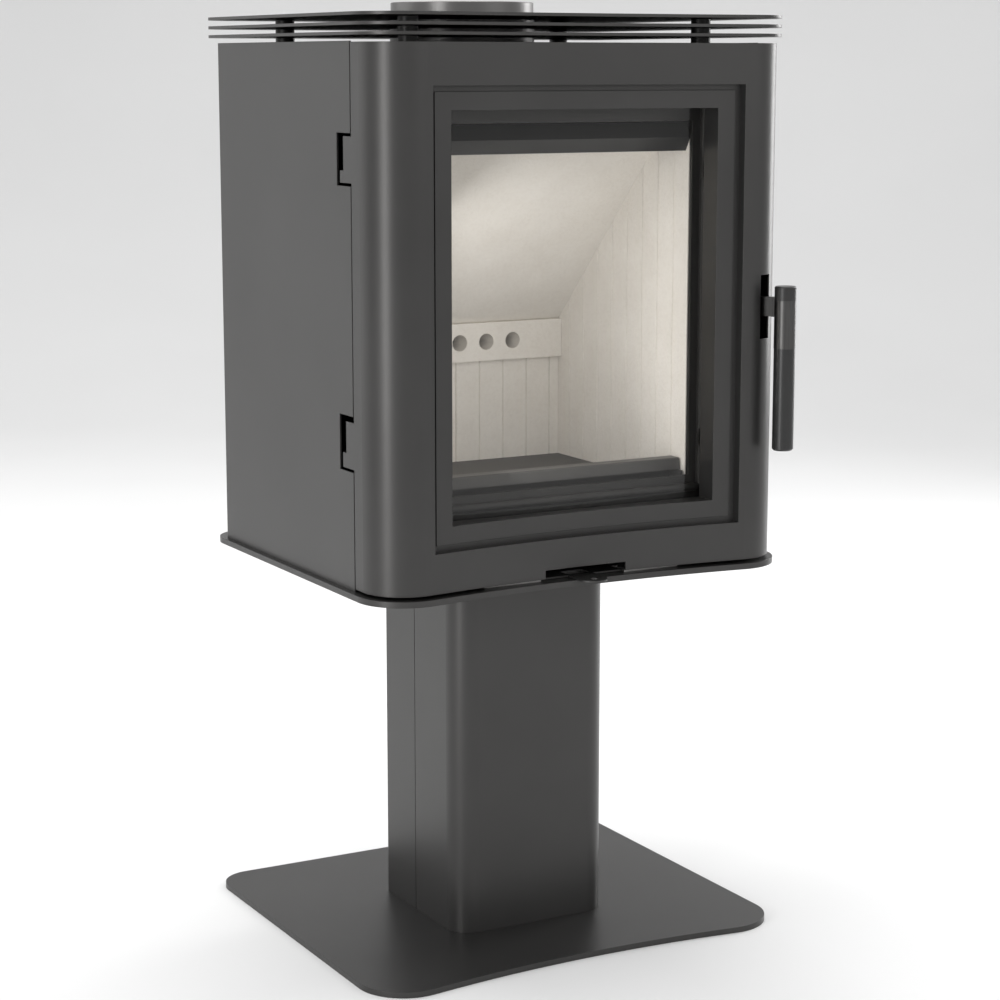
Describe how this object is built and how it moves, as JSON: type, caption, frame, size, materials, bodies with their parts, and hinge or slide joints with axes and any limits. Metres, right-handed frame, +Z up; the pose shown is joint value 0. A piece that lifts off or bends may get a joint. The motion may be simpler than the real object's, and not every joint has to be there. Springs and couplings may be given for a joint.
{
  "type": "wood burning stove",
  "caption": "Free-standing pedestal wood stove with a concave glazed door, round side handle, layered top plates and a top flue collar.",
  "frame": {"origin": "on the floor, on the axis of the air hole in the base plate, 69 mm in front of the flue axis", "axes": "+Z up, -Y towards the person facing the door, +X to the right of that person"},
  "size_m": [0.4774, 0.4456, 0.9678],
  "materials": {
    "graphite_paint": "satin",
    "inner_steel": "matte",
    "vermiculite": "matte",
    "cast_floor": "matte",
    "satin_steel": "satin",
    "zinc_steel": "satin",
    "dark_grip": "matte",
    "stove_glass": "gloss",
    "glass_fibre": "matte"
  },
  "bodies": {
    "stove": {"air_inlet_spigot": "zinc_steel", "air_manifold": "inner_steel", "air_slide_guides": "zinc_steel", "airwash_deflector": "inner_steel", "ash_pan": "zinc_steel", "baffle": "vermiculite", "base_plate": "graphite_paint", "body_top_sheet": "inner_steel", "canopy_nuts": "zinc_steel", "canopy_plate_lower": "graphite_paint", "canopy_plate_middle": "graphite_paint", "canopy_plate_upper": "graphite_paint", "canopy_spacers": "graphite_paint", "canopy_studs": "zinc_steel", "collar_bolts": "zinc_steel", "fire_floor": "cast_floor", "firebox_front_frame": "inner_steel", "firebox_shell": "inner_steel", "floor_plate": "graphite_paint", "flue_collar": "graphite_paint", "grate": "cast_floor", "hinge_bracket_lower": "inner_steel", "hinge_bracket_upper": "inner_steel", "hinge_pins": "zinc_steel", "hinge_washers": "zinc_steel", "keeper_roller": "zinc_steel", "latch_keeper": "inner_steel", "liner_left": "vermiculite", "liner_rear": "vermiculite", "liner_right": "vermiculite", "log_guard": "cast_floor", "panel_screws": "zinc_steel", "pedestal_bolts": "zinc_steel", "pedestal_foot_flange": "inner_steel", "pedestal_front": "graphite_paint", "pedestal_head_flange": "inner_steel", "pedestal_rear": "graphite_paint", "rear_panel": "inner_steel", "secondary_air_bar": "vermiculite", "side_panel_left": "graphite_paint", "side_panel_right": "graphite_paint"},
    "door": {"door_fascia": "graphite_paint", "door_frame": "graphite_paint", "door_back_frame": "graphite_paint", "door_trim_frame": "graphite_paint", "glass_gasket": "glass_fibre", "door_glass": "stove_glass", "glass_clips": "satin_steel", "clip_screws": "zinc_steel", "door_rope_seal": "glass_fibre", "hinge_lug_lower": "inner_steel", "hinge_lug_upper": "inner_steel", "latch_bracket": "inner_steel"},
    "handle": {"latch_shaft": "zinc_steel", "latch_tongue": "zinc_steel", "handle_lever": "satin_steel", "handle_cap": "dark_grip", "handle_stem": "satin_steel", "handle_grip": "dark_grip"},
    "air_slide": {"air_slide_plate": "graphite_paint"}
  },
  "joints": [
    {"name": "door_swing", "type": "hinge", "parent": "stove", "child": "door", "pos_m": [-0.2195, -0.125, 0.66], "axis": [0, 0, -1], "range_deg": [0, 95]},
    {"name": "handle_lift", "type": "hinge", "parent": "door", "child": "handle", "pos_m": [0.19258, -0.1711, 0.662], "axis": [-0.9063, -0.4226, 0], "range_deg": [0, 20]},
    {"name": "air_slide_move", "type": "slide", "parent": "stove", "child": "air_slide", "axis": [1, 0, 0], "range_m": [-0.028, 0.028]}
  ]
}
